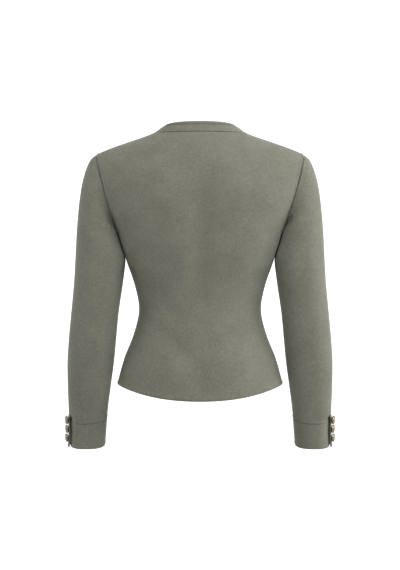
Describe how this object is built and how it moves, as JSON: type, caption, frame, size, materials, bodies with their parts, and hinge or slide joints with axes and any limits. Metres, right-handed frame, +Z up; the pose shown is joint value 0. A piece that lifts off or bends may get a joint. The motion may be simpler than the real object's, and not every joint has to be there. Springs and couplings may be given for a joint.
{
  "type": "knit blazer",
  "caption": "Fitted long-sleeved knit blazer on an unseen wearer, with a stand neckband, flared hem, buttoned front and vented cuffs with domed buttons.",
  "frame": {"origin": "middle of the neck opening, level with the back neck seam and over the line of the shoulder seams", "axes": "+Z up, +X to the wearer's left, +Y to the wearer's back, so the buttoned front faces -Y"},
  "size_m": [0.5296, 0.2252, 0.6365],
  "materials": {
    "knit": "matte grey-green double knit with a fine melange",
    "button": "antique bronze rim with a paler pearly dome"
  },
  "bodies": {
    "root": {"back": "knit", "front_left": "knit", "front_right": "knit", "sleeve_left": "knit", "sleeve_right": "knit", "neckband": "knit", "neck_roll": "knit", "front_button_1": "button", "front_button_2": "button", "front_button_3": "button", "front_button_4": "button", "front_button_5": "button", "cuff_button_left_1": "button", "cuff_button_left_2": "button", "cuff_button_left_3": "button", "cuff_button_right_1": "button", "cuff_button_right_2": "button", "cuff_button_right_3": "button"}
  },
  "joints": []
}
